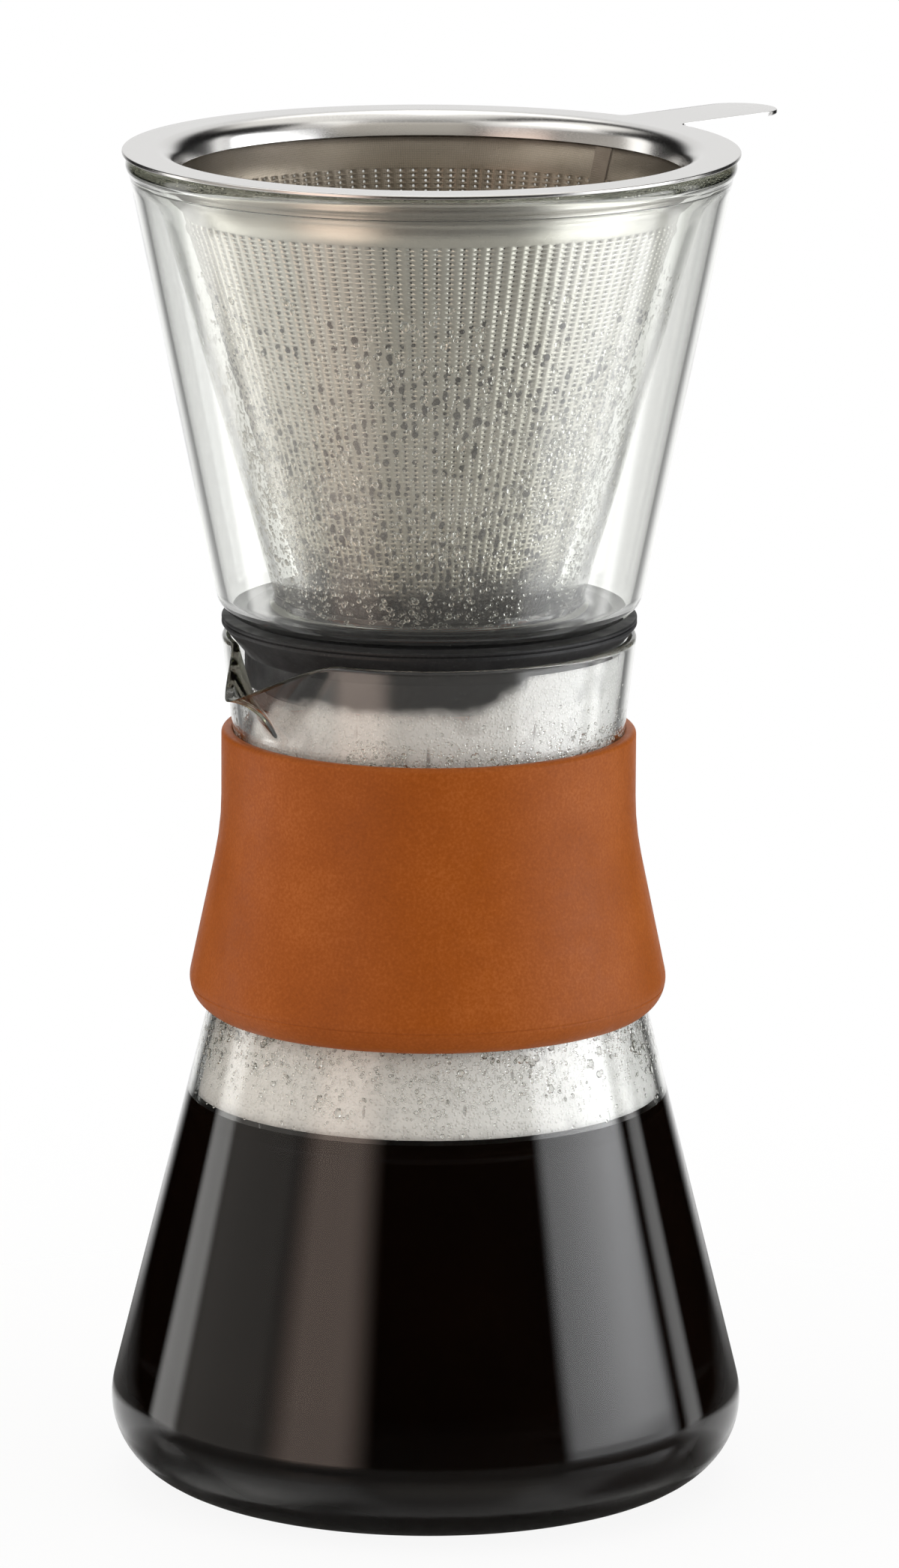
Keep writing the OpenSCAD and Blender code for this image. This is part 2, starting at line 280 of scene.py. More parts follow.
def ring_of(p, angles, reshape):
    """Places around the axis of one outline point."""
    radius = np.full(len(angles), p[0])
    height = np.full(len(angles), p[1])
    if reshape:
        radius, height = reshape(radius, angles, height)
    way = np.radians(angles)
    ring = np.stack((radius * np.cos(way), radius * np.sin(way), height), 1) * MM
    return ring.tolist()


def add_rings(verts, outline, angles, reshape):
    """Adds the vertices of an outline's rings, and returns their numbers."""
    rings = []
    count = len(angles)
    for p in outline:
        start = len(verts)
        if p[0] < ON_AXIS:
            rings.append([start] * count)
            verts.append((0, 0, p[1] * MM))
        else:
            rings.append(list(range(start, start + count)))
            verts += ring_of(p, angles, reshape)
    return rings


def strip(here, there, u, low, high):
    """Faces between two rings, with their places on the map."""
    count = len(here)
    for j in range(count):
        k = (j + 1) % count
        corners = [here[j], here[k], there[k], there[j]]
        places = [(u[j], low), (u[j + 1], low), (u[j + 1], high), (u[j], high)]
        if corners[0] == corners[1]:
            del corners[1], places[1]
        elif corners[2] == corners[3]:
            del corners[3], places[3]
        yield corners, places


def turned(name, loops, angles, reshape=None):
    """Mesh of revolution of loops (outline, slot), each with its solid on the left.

    A loop that starts and ends on the axis closes there, and any other closes on itself.
    """
    verts = []
    faces = []
    slots = []
    maps = []
    total = sum(len(outline) for outline, _ in loops)
    done = 0
    u = np.append((angles - angles[0]) / 360, 1)
    for outline, slot in loops:
        rings = add_rings(verts, outline, angles, reshape)
        last = len(rings) - 1 if outline[0][0] < ON_AXIS else len(rings)
        for i in range(last):
            there = rings[(i + 1) % len(rings)]
            low = (done + i + MAP_EDGE) / total
            edge = -MAP_EDGE if i == last - 1 else MAP_EDGE
            high = (done + i + 1 + edge) / total
            for corners, places in strip(rings[i], there, u, low, high):
                faces.append(corners)
                maps += places
                slots.append(slot if isinstance(slot, int) else slot[i])
        done += len(rings)
    return mesh_object(name, verts, faces, slots, maps)


def mesh_object(name, verts, faces, slots=None, maps=None):
    mesh = bpy.data.meshes.new(name)
    mesh.from_pydata(verts, [], faces)
    if maps:
        layer = mesh.uv_layers.new(name="OFBake")
        layer.data.foreach_set("uv", np.array(maps, np.float32).ravel())
    if slots:
        mesh.polygons.foreach_set("material_index", np.array(slots, np.int32))
    mesh.shade_smooth()
    mesh.update()
    thing = bpy.data.objects.new(name, mesh)
    bpy.context.scene.collection.objects.link(thing)
    return thing


# Carafe, sleeve and coffee

def carafe_corners():
    waist = point(WAIST_R, CARAFE_H - NECK_H)
    rim = point(RIM_R, CARAFE_H)
    mid = point(BASE_R - BASE_CORNER, BASE_CORNER)
    lean = math.atan2(mid[0] - waist[0], waist[1] - mid[1])
    lean += math.asin(BASE_CORNER / np.hypot(*(mid - waist)))
    foot = point(waist[0] + waist[1] * math.tan(lean), 0)
    return foot, waist, rim


FOOT, WAIST, RIM = carafe_corners()
MIDDLE = point(0, 0)


def carafe_foot(inset, floor):
    return moved_corner(MIDDLE, FOOT, WAIST, floor, inset)


def carafe_waist(inset):
    return moved_corner(FOOT, WAIST, RIM, inset, inset)


def carafe_rim(inset):
    waist = carafe_waist(inset)
    return on_line(waist, waist + RIM - WAIST, CARAFE_H)


def wall_at(inset, z):
    return on_line(carafe_foot(inset, 0), carafe_waist(inset), z)


def neck_at(inset, z):
    return on_line(carafe_waist(inset), carafe_rim(inset), z)


def off_from(angle, middle):
    """Angle from a middle direction, between -180 and 180."""
    return (angle - middle + 180) % 360 - 180


def spout(r, angles, z):
    """Moves the rim out and down into the pouring spout, with a crease along its middle."""
    keel = CARAFE_H - SPOUT_H
    rise = np.clip((z - keel) / SPOUT_H, 0, 1)
    spread = SPOUT_SPREAD * (SPOUT_NARROW + (1 - SPOUT_NARROW) * rise)
    across = np.abs(off_from(angles, SPOUT_TURN)) / spread
    across = np.clip(np.hypot(across, SPOUT_CREASE) - SPOUT_CREASE, 0, 1)
    share = (1 - across) ** SPOUT_FALL_OFF
    return r + SPOUT_REACH * rise ** SPOUT_SWEEP * share, z - SPOUT_DROP * rise ** 2 * share


def spout_turn():
    return turn_with_fine(SPOUT_TURN, SPOUT_SPREAD + SPOUT_MARGIN, FINE_TURN)


def make_carafe():
    outline = rounded([
        (0, 0, 0),
        with_round(FOOT, BASE_CORNER),
        with_round(WAIST, WAIST_ROUND),
        with_round(RIM, LIP_ROUND),
        with_round(carafe_rim(CARAFE_WALL), LIP_ROUND),
        with_round(carafe_waist(CARAFE_WALL), WAIST_ROUND + CARAFE_WALL),
        with_round(carafe_foot(CARAFE_WALL, CARAFE_FLOOR), HEEL_ROUND),
        (0, CARAFE_FLOOR, 0),
    ])

    def step(z):
        return 0.7 if z > CARAFE_H - SPOUT_H - 1 else 4

    outline = split(outline, step, closed=False)
    return turned("carafe_glass", [(outline, 0)], spout_turn(), spout)


def grooved(outline, is_outside, middle_z, deep, wide):
    """The outline with a round groove cut into its outside at a height."""
    cut = []
    for p in outline:
        depth = deep * math.exp(-((p[1] - middle_z) / wide) ** 2) if is_outside(p) else 0
        cut.append(point(p[0] - depth, p[1]))
    return cut


def make_sleeve():
    knee = point(neck_at(0, SLEEVE_TOP)[0] + SLEEVE_TOP_WALL, WAIST[1] + SLEEVE_KNEE)
    low_z = WAIST[1] - SLEEVE_BELOW
    low = point(wall_at(0, low_z)[0] + SLEEVE_LOW_WALL, low_z)
    edge = corner(point(0, low_z), low, knee, SLEEVE_LOW_ROUND)
    edge = [p for p in edge if p[0] > wall_at(-SLEEVE_GAP, p[1])[0] + SLEEVE_LIP]
    outline = rounded([
        with_round(wall_at(-SLEEVE_GAP, edge[0][1] - 0.02), 0),
        *[with_round(p, 0) for p in edge],
        with_round(knee, WAIST_ROUND),
        (knee[0], SLEEVE_TOP, SLEEVE_TOP_ROUND),
        (neck_at(-SLEEVE_GAP, SLEEVE_TOP)[0], SLEEVE_TOP, SLEEVE_INNER_ROUND),
        with_round(carafe_waist(-SLEEVE_GAP), WAIST_ROUND - SLEEVE_GAP),
    ])
    line_z = low_z + PARTING_UP

    def step(z):
        return 0.1 if abs(z - line_z) < 1 else 2

    def is_outside(p):
        return p[0] > wall_at(-1, p[1])[0]

    cut = grooved(split(outline, step), is_outside, line_z, PARTING_DEEP, PARTING_WIDE)
    return turned("sleeve_silicone", [(cut, 0)], even_turn())


def make_coffee():
    inset = CARAFE_WALL - COFFEE_SINK
    edge = wall_at(inset, COFFEE_TOP + MENISCUS)
    outline = rounded([
        (0, CARAFE_FLOOR - COFFEE_SINK, 0),
        with_round(carafe_foot(inset, CARAFE_FLOOR - COFFEE_SINK), HEEL_ROUND + COFFEE_SINK),
        with_round(edge, 0),
        (edge[0] - MENISCUS_STEEP, COFFEE_TOP + MENISCUS_FOOT, 0.8),
        (edge[0] - MENISCUS_WIDE, COFFEE_TOP, 2),
        (0, COFFEE_TOP, 0),
    ])
    outline = split(outline, 4, closed=False)
    open_top = [1 if p[1] > COFFEE_TOP - 0.01 else 0 for p in outline]
    return turned("coffee_fill", [(outline, open_top)], even_turn())


# Gasket and dripper

def make_gasket():
    edge_z = GASKET_TOP - GASKET_EDGE
    groove_z = GASKET_TOP - GASKET_EDGE / 2
    seat_z = edge_z - (GASKET_R - PLUG_R) / math.tan(math.radians(SEAT_ANGLE))
    outline = rounded([
        (BORE_R, GASKET_LOW, BORE_ROUND),
        (PLUG_R, GASKET_LOW, PLUG_ROUND),
        (PLUG_R, seat_z, PLUG_ROUND),
        (GASKET_R, edge_z, EDGE_ROUND),
        (GASKET_R, GASKET_TOP, EDGE_ROUND),
        (BORE_R, GASKET_TOP, BORE_ROUND),
    ])

    def step(z):
        return 0.08 if z > edge_z else 1.5

    def is_outside(p):
        return p[0] > GASKET_R - 0.01

    cut = grooved(split(outline, step), is_outside, groove_z, GROOVE_DEEP, GROOVE_WIDE)
    return turned("gasket_silicone", [(cut, 0)], even_turn())


OUTER_FOOT = point(DRIPPER_FLOOR_R, DRIPPER_Z)
OUTER_TOP = point(DRIPPER_TOP_R, DRIPPER_TOP)
BEAD_Z = DRIPPER_TOP - BEAD_R + BEAD_FLAT
BEAD_MID = point(on_line(OUTER_FOOT, OUTER_TOP, BEAD_Z)[0] + BEAD_PROUD - BEAD_R, BEAD_Z)
FUSE_R = on_line(OUTER_FOOT, OUTER_TOP, BEAD_Z - BEAD_R)[0] - DRIPPER_WALL
FLARE_Z = DRIPPER_TOP - FLARE_DEPTH
FLARE = point(on_line(OUTER_FOOT, OUTER_TOP, FLARE_Z)[0] - DRIPPER_WALL - FLARE_SPACE, FLARE_Z)
FLARE_TOP = point(FUSE_R - BEAD_R / 6, BEAD_Z - BEAD_R / 4)
INNER_LOW = point(OUTLET_R, DRIPPER_Z)
FLARE_IN = moved_corner(INNER_LOW, FLARE, FLARE_TOP, DRIPPER_WALL, DRIPPER_WALL)
INNER_LOW_IN = moved_corner(point(OUTLET_R, OUTLET_Z), INNER_LOW, FLARE, DRIPPER_WALL, DRIPPER_WALL)


def make_dripper():
    flat = math.degrees(math.asin((DRIPPER_TOP - BEAD_Z) / BEAD_R))
    bead = arc(BEAD_MID, BEAD_R, BEAD_START, flat) + arc(BEAD_MID, BEAD_R, 180 - flat, BEAD_END)
    below = rounded([
        (OUTLET_R - DRIPPER_WALL, OUTLET_Z, OUTLET_ROUND),
        (OUTLET_R, OUTLET_Z, OUTLET_ROUND),
        with_round(INNER_LOW, INNER_FOOT_ROUND),
        with_round(OUTER_FOOT, DRIPPER_CORNER),
        with_round(bead[0], 0),
        with_round(bead[-1], 0),
        with_round(FLARE_IN, FLARE_ROUND),
        with_round(INNER_LOW_IN, INNER_FOOT_IN_ROUND),
    ])
    at = next(i for i, p in enumerate(below) if np.allclose(p, bead[0]))
    outer = split(below[:at] + bead + below[at + 2:], GLASS_STEP)
    return turned("dripper_glass", [(outer, 0), (dripper_cavity(), 0)], even_turn())


def dripper_cavity():
    """Outline of the closed space between the dripper's two walls."""
    inside_top = point(on_line(OUTER_FOOT, OUTER_TOP, BEAD_Z)[0] - DRIPPER_WALL, BEAD_Z)
    axis_foot = point(0, DRIPPER_Z)
    inside_foot = moved_corner(axis_foot, OUTER_FOOT, OUTER_TOP, DRIPPER_WALL, DRIPPER_WALL)
    roof = BEAD_Z - BEAD_R + CAVITY_ROOF_UP
    cavity = rounded([
        with_round(on_line(INNER_LOW, FLARE, DRIPPER_Z + DRIPPER_WALL), CAVITY_FOOT_ROUND),
        with_round(FLARE, FLARE_ROUND),
        with_round(on_line(FLARE, FLARE_TOP, roof), CAVITY_ROOF_ROUND),
        with_round(on_line(inside_foot, inside_top, roof), CAVITY_ROOF_ROUND),
        with_round(inside_foot, DRIPPER_CORNER - DRIPPER_WALL),
    ])
    return split(cavity, GLASS_STEP)


# Filter

CONE_TOP = point(CONE_TOP_R, FILTER_TOP - RIM_SHEET)
CONE_LOW = point(CONE_LOW_R, CONE_LOW_Z)
CONE_IN = side(CONE_LOW, CONE_TOP)
MESH_IN = CONE_SHEET + LAYER_GAP
COLLAR_IN = MESH_IN + MESH_SHEET + LAYER_GAP


def cone_at(inset, z):
    return on_line(CONE_LOW - inset * CONE_IN, CONE_TOP - inset * CONE_IN, z)


def tab_reach(off):
    """Radius of the flange's edge at an angle from the middle of the tab."""
    angle = math.radians(abs(off))
    half_w = TAB_W / 2
    end = FLANGE_R + TAB_LEN - half_w
    mid_y = half_w + TAB_FILLET
    mid = point(math.sqrt((FLANGE_R + TAB_FILLET) ** 2 - mid_y ** 2), mid_y)
    way = point(math.cos(angle), math.sin(angle))
    if angle < math.atan2(half_w, end):
        return end * way[0] + math.sqrt(half_w ** 2 - (end * way[1]) ** 2)
    if angle < math.atan2(half_w, mid[0]):
        return half_w / way[1]
    if angle < math.atan2(mid[1], mid[0]):
        along = mid @ way
        return along - math.sqrt(max(0, TAB_FILLET ** 2 - mid @ mid + along ** 2))
    return FLANGE_R


def bend(inset, z, rounding):
    """Arc from the collar, at an inset from the cone, to the flat of the flange at a height."""
    return corner(cone_at(inset, CONE_LOW_Z), cone_at(inset, z), point(2 * FLANGE_R, z), rounding)


def make_rim():
    flange_z = FILTER_TOP - RIM_SHEET
    collar_z = FILTER_TOP - COLLAR_DEPTH
    inner = COLLAR_IN + COLLAR_SHEET
    under = bend(COLLAR_IN, flange_z, BEND_ROUND - COLLAR_SHEET)
    upper = bend(inner, FILTER_TOP, BEND_ROUND)
    outline = rounded([
        with_round(cone_at(COLLAR_IN, collar_z), COLLAR_END_ROUND),
        *[with_round(p, 0) for p in under],
        (FLANGE_R, flange_z, FLANGE_LOW_ROUND),
        (FLANGE_R, FILTER_TOP, FLANGE_TOP_ROUND),
        *[with_round(p, 0) for p in upper[::-1]],
        with_round(cone_at(inner, collar_z), COLLAR_END_ROUND),
    ])
    outline = split(outline, 1.2)

    def with_tab(r, angles, z):
        edge = np.array([tab_reach(off_from(a, TAB_TURN)) for a in angles])
        share = np.clip((r - FLANGE_R + TAB_FROM) / TAB_BLEND, 0, 1)
        return r + (edge - FLANGE_R) * share, z

    angles = turn_with_fine(TAB_TURN, TAB_HALF_TURN, 0.1, 1.5)
    return turned("filter_rim_sheet", [(outline, 0)], angles, with_tab)


CONE_SLOPE = np.hypot(*(CONE_TOP - CONE_LOW)) / (CONE_TOP[1] - CONE_LOW[1])
SHEET_TOP_Z = FILTER_TOP - SHEET_DROP
HOLE_SIDES = 6
HOLE_ROWS = int((HOLES_FROM_Z - HOLES_TO_Z) * CONE_SLOPE / HOLE_PITCH)
HOLE_PITCH_Z = HOLE_PITCH / CONE_SLOPE
HOLES_LOW_Z = HOLES_FROM_Z - HOLE_ROWS * HOLE_PITCH_Z
ROW_EDGES = [HOLES_LOW_Z + k * HOLE_PITCH_Z for k in range(HOLE_ROWS + 1)]
SHEET_LEVELS = [CONE_LOW_Z, *ROW_EDGES, SHEET_TOP_Z]
COLUMN_TURN = 2 * math.pi / HOLE_COLUMNS


class PerforatedSheet:
    """Part of the perforated sheet between two of its columns, with every hole cut through."""

    def __init__(self, first, last):
        self.first = first
        self.columns = last - first
        self.verts = []
        self.faces = []
        self.slots = []
        self.grids = []
        self.holes = []
        for inset in (0, CONE_SHEET):
            self.grids.append([self.level(inset, z) for z in SHEET_LEVELS])
            self.holes.append(self.rims(inset))
        for layer in range(2):
            self.add_plain_strips(layer)
            self.add_holed_rows(layer)
        self.add_hole_walls()
        self.add_edges()
        self.slots += [0] * (len(self.faces) - len(self.slots))

    def vertex(self, inset, angle, z):
        r = cone_at(inset, z)[0]
        self.verts.append((r * math.cos(angle) * MM, r * math.sin(angle) * MM, z * MM))
        return len(self.verts) - 1

    def level(self, inset, z):
        """Corners along one height, two for each column."""
        turns = [(self.first + j / 2) * COLUMN_TURN for j in range(2 * self.columns + 1)]
        return [self.vertex(inset, angle, z) for angle in turns]

    def rims(self, inset):
        """Corners of every hole on one face of the sheet, by row and column."""
        rims = {}
        for k in range(HOLE_ROWS):
            mid_z = HOLES_LOW_Z + (k + 0.5) * HOLE_PITCH_Z
            for c in range(self.columns):
                mid = (self.first + c + 0.5) * COLUMN_TURN
                rims[k, c] = self.rim(inset, mid, mid_z)
        return rims

    def rim(self, inset, mid, mid_z):
        radius = cone_at(0, mid_z)[0]
        corners = []
        for n in range(HOLE_SIDES):
            a = math.radians(-150 + 360 / HOLE_SIDES * n)
            angle = mid + HOLE_R * math.cos(a) / radius
            corners.append(self.vertex(inset, angle, mid_z + HOLE_R * math.sin(a) / CONE_SLOPE))
        return corners

    def add_face(self, corners, layer):
        self.faces.append(corners if layer == 0 else corners[::-1])
        self.slots.append(layer)

    def add_plain_strips(self, layer):
        grid = self.grids[layer]
        for k in (0, len(grid) - 2):
            for j in range(2 * self.columns):
                low = grid[k]
                high = grid[k + 1]
                self.add_face([low[j], low[j + 1], high[j + 1], high[j]], layer)

    def add_holed_rows(self, layer):
        for k in range(HOLE_ROWS):
            low = self.grids[layer][k + 1]
            high = self.grids[layer][k + 2]
            for c in range(self.columns):
                j = 2 * c
                edge = [low[j], low[j + 1], low[j + 2], high[j + 2], high[j + 1], high[j]]
                rim = self.holes[layer][k, c]
                for n in range(HOLE_SIDES):
                    m = (n + 1) % HOLE_SIDES
                    self.add_face([edge[n], edge[m], rim[m], rim[n]], layer)

    def add_hole_walls(self):
        outside, inside = self.holes
        for place, near in outside.items():
            far = inside[place]
            for n in range(HOLE_SIDES):
                m = (n + 1) % HOLE_SIDES
                self.faces.append([near[n], near[m], far[m], far[n]])

    def add_edges(self):
        outside, inside = self.grids
        last = len(SHEET_LEVELS) - 1
        for k in (0, last):
            for j in range(2 * self.columns):
                ends = [inside[k][j], inside[k][j + 1], outside[k][j + 1], outside[k][j]]
                self.faces.append(ends if k == 0 else ends[::-1])
        for j in (0, 2 * self.columns):
            for k in range(last):
                ends = [outside[k][j], outside[k + 1][j], inside[k + 1][j], inside[k][j]]
                self.faces.append(ends if j == 0 else ends[::-1])


def make_mesh_cone():
    outline = [
        cone_at(MESH_IN, CONE_LOW_Z),
        cone_at(MESH_IN, SHEET_TOP_Z),
        cone_at(MESH_IN + MESH_SHEET, SHEET_TOP_Z),
        cone_at(MESH_IN + MESH_SHEET, CONE_LOW_Z),
    ]
    return turned("filter_mesh_cloth", [(split(outline, 3), 0)], even_turn())


# Condensation

DROP_SKEW = (1.2, 5)
DROP_HEIGHTS = (0.42, 0.6)
DROP_LENGTHEN = 0.25


def drop_shape():
    """Corners and faces of a unit drop: a low dome on a flat foot."""
    sides = 6
    corners = []
    for radius, height in ((1, -0.2), (0.8, 0.6)):
        for k in range(sides):
            a = 2 * math.pi * k / sides
            corners.append((radius * math.cos(a), radius * math.sin(a), height))
    corners.append((0, 0, 1))
    faces = [list(range(sides))[::-1]]
    for k in range(sides):
        m = (k + 1) % sides
        faces.append([k, m, sides + m, sides + k])
        faces.append([sides + k, sides + m, 2 * sides])
    return np.array(corners), faces


def drop_frame(angle, foot, normal):
    """Middle of a drop's foot, and its ways around the axis, along the wall and off the wall."""
    out = np.array((math.cos(angle), math.sin(angle), 0))
    across = np.array((-math.sin(angle), math.cos(angle), 0))
    up = np.array((0, 0, 1))
    off = out * normal[0] + up * normal[1]
    return out * foot[0] + up * foot[1], across, np.cross(off, across), off


def make_drops(name, surface, low_z, high_z, count, sizes, density, seed):
    """Drops on a turned surface, which gives the radius and the normal at a height."""
    chance = np.random.default_rng(seed)
    shape, shape_faces = drop_shape()
    verts = []
    faces = []
    made = 0
    while made < count:
        angle = chance.uniform(0, 2 * math.pi)
        z = chance.uniform(low_z, high_z)
        size = sizes[0] + (sizes[1] - sizes[0]) * chance.beta(*DROP_SKEW)
        if chance.uniform() > density(angle, z):
            continue
        centre, across, along, off = drop_frame(angle, *surface(z))
        long = 1 + DROP_LENGTHEN * chance.uniform() * size / sizes[1]
        height = size * chance.uniform(*DROP_HEIGHTS)
        base = len(verts)
        for x, y, h in shape:
            flat = across * x * size + along * y * size * long
            verts.append((centre + flat + off * h * height) * MM)
        for corners in shape_faces:
            faces.append([base + k for k in corners])
        made += 1
    return mesh_object(name, [tuple(v) for v in verts], faces)


def inner_wall(z):
    return on_line(INNER_LOW_IN, FLARE_IN, z), -side(INNER_LOW_IN, FLARE_IN)


def cone_outside(z):
    return cone_at(0, z), CONE_IN


def carafe_shoulder(z):
    return wall_at(CARAFE_WALL, z), -side(FOOT, WAIST)


def carafe_neck(z):
    return neck_at(CARAFE_WALL, z), -side(WAIST, RIM)


def patchy(angle, z, scale=1.0):
    """A smooth pattern between 0 and 1 that breaks the mist into patches."""
    waves = (
        math.sin(3 * angle + 0.11 * scale * z)
        + math.sin(5 * angle - 0.07 * scale * z + 2)
        + math.sin(11 * angle + 0.16 * scale * z + 4)
    )
    return 0.5 + waves / 6


def dripper_wet(angle, z):
    low = np.clip((250 - z) / 45, 0, 1)
    return low * (0.15 + 0.85 * patchy(angle, z))


def seep_wet(angle, z):
    """Coffee that has come through the holes, so only on their columns."""
    column = angle / (2 * math.pi) * HOLE_COLUMNS - 0.5
    if abs(column - round(column)) > 0.16:
        return 0
    return np.clip((240 - z) / 16, 0, 1) * patchy(angle, z, 1.5)


def bead_wet(angle, z):
    """Large drops that have run together on the glass beside the filter."""
    return np.clip((244 - z) / 12, 0, 1) * patchy(angle, z, 1.5) ** 2


def shoulder_wet(angle, z):
    under = np.clip((z - COFFEE_TOP - 4) / 9, 0.1, 1)
    return under * (0.3 + 0.7 * patchy(angle, z, 2))


def run_wet(angle, z):
    """Large drops that hang just under the sleeve."""
    return np.clip((z - SLEEVE_LOW + 9) / 6, 0.05, 1) * patchy(angle, z) ** 2


def neck_wet(angle, z):
    off = abs(off_from(math.degrees(angle), SPOUT_TURN))
    if off < SPOUT_SPREAD + SPOUT_MARGIN:
        return 0
    above = np.clip((SLEEVE_TOP + 7 - z) / 6, 0.08, 1)
    return above * (0.35 + 0.65 * patchy(angle, z, 2))


FILM_GAP = 0.03
FILM_BEHIND_DROPS = 0.45
FILM_THICK = 0.05


def make_film(name, surface, low_z, high_z, gap, reshape=None):
    """Closed film of mist, by a gap inside a turned surface."""
    near = []
    far = []
    for z in np.arange(low_z, high_z + 0.5):
        foot, inward = surface(z)
        near.append(foot + inward * gap)
        far.append(foot + inward * (gap + FILM_THICK))
    angles = spout_turn() if reshape else even_turn()
    return turned(name, [(near + far[::-1], 0)], angles, reshape)


# Materials

class Nodes:
    """Short calls for building a node tree."""

    def __init__(self, tree):
        self.tree = tree

    def node(self, kind, **values):
        made = self.tree.nodes.new(kind)
        for key, value in values.items():
            setattr(made, key, value)
        return made

    def link(self, start, end):
        self.tree.links.new(start, end)

    def parts(self, vector):
        made = self.node("ShaderNodeSeparateXYZ")
        self.link(vector, made.inputs[0])
        return made.outputs

    def ranged(self, value, from_low, from_high, to_low, to_high, smooth=False):
        made = self.node("ShaderNodeMapRange")
        if smooth:
            made.interpolation_type = "SMOOTHSTEP"
        for socket, number in zip(made.inputs[1:5], (from_low, from_high, to_low, to_high)):
            socket.default_value = number
        self.link(value, made.inputs[0])
        return made.outputs[0]

    def maths(self, operation, a, b=0):
        made = self.node("ShaderNodeMath", operation=operation)
        for socket, value in zip(made.inputs, (a, b)):
            if isinstance(value, (int, float)):
                socket.default_value = value
            else:
                self.link(value, socket)
        return made.outputs[0]

    def product(self, *values):
        total = values[0]
        for value in values[1:]:
            total = self.maths("MULTIPLY", total, value)
        return total

    def mixed(self, share, first, second):
        made = self.node("ShaderNodeMixShader")
        for socket, value in zip(made.inputs, (share, first, second)):
            self.link(value, socket)
        return made.outputs[0]


class Look(Nodes):
    """A node material around one Principled shader."""

    def __init__(self, name, **values):
        self.material = bpy.data.materials.new(name)
        self.material.use_nodes = True
        super().__init__(self.material.node_tree)
        self.shader = self.tree.nodes["Principled BSDF"]
        self.out = self.tree.nodes["Material Output"]
        for socket, value in values.items():
            self.shader.inputs[socket.replace("_", " ")].default_value = value

    def place(self, stretch=(1, 1, 1)):
        """Object coordinates in mm, stretched."""
        source = self.node("ShaderNodeTexCoord").outputs["Object"]
        mapping = self.node("ShaderNodeMapping")
        mapping.inputs["Scale"].default_value = [s / MM for s in stretch]
        self.link(source, mapping.inputs["Vector"])
        return mapping.outputs["Vector"]

    def noise(self, size, detail=2.0, stretch=(1, 1, 1)):
        """Noise whose features are about size mm wide."""
        made = self.node("ShaderNodeTexNoise")
        made.inputs["Scale"].default_value = 1 / size
        made.inputs["Detail"].default_value = detail
        self.link(self.place(stretch), made.inputs["Vector"])
        return made.outputs["Fac"]

    def cells(self, size):
        made = self.node("ShaderNodeTexVoronoi", feature="SMOOTH_F1")
        made.inputs["Scale"].default_value = 1 / size
        made.inputs["Smoothness"].default_value = 0.4
        self.link(self.place(), made.inputs["Vector"])
        return made.outputs["Distance"]

    def ramp(self, value, stops):
        made = self.node("ShaderNodeValToRGB")
        points = made.color_ramp.elements
        while len(points) < len(stops):
            points.new(1)
        for element, (at, colour) in zip(points, stops):
            element.position = at
            element.color = (*colour, 1)
        self.link(value, made.inputs["Fac"])
        return made.outputs["Color"]

    def bump(self, height, depth):
        """Bump of a height from 0 to 1 that stands for depth mm."""
        made = self.node("ShaderNodeBump")
        made.inputs["Distance"].default_value = depth * MM
        self.link(height, made.inputs["Height"])
        self.link(made.outputs["Normal"], self.shader.inputs["Normal"])

    def colour(self, value):
        self.link(value, self.shader.inputs["Base Color"])

    def roughness(self, value):
        self.link(value, self.shader.inputs["Roughness"])

    def let_lamps_through(self):
        """Shadow rays pass, so that lamps light what stands inside the glass."""
        path = self.node("ShaderNodeLightPath")
        clear = self.node("ShaderNodeBsdfTransparent")
        surface = self.mixed(path.outputs["Is Shadow Ray"], self.shader.outputs[0], clear.outputs[0])
        self.link(surface, self.out.inputs["Surface"])

    def absorb(self, colour, density):
        """Colour that thick glass takes on, with density per metre."""
        made = self.node("ShaderNodeVolumeAbsorption")
        made.inputs["Color"].default_value = (*colour, 1)
        made.inputs["Density"].default_value = density
        self.link(made.outputs[0], self.out.inputs["Volume"])


GLASS_TINT = (0.98, 0.985, 0.97, 1)
GLASS_DEEP = (0.82, 0.86, 0.62)
GLASS_DENSITY = 7.0
GLASS_IOR = 1.47
WATER_TINT = (0.98, 0.98, 0.97, 1)
WATER_IOR = 1.33
MIST_TINT = (0.99, 0.99, 0.98, 1)
MIST_ROUGH = 0.6
MIST_BEAD = 0.6
MIST_FOOT = 18.0
COFFEE_IN_GLASS_IOR = 1.1


def glass(name):
    look = Look(name, Base_Color=GLASS_TINT, Roughness=0.0, IOR=GLASS_IOR, Transmission_Weight=1.0)
    look.bump(look.noise(26, 1.0, (1, 1, 0.4)), 0.05)
    look.let_lamps_through()
    look.absorb(GLASS_DEEP, GLASS_DENSITY)
    return look.material


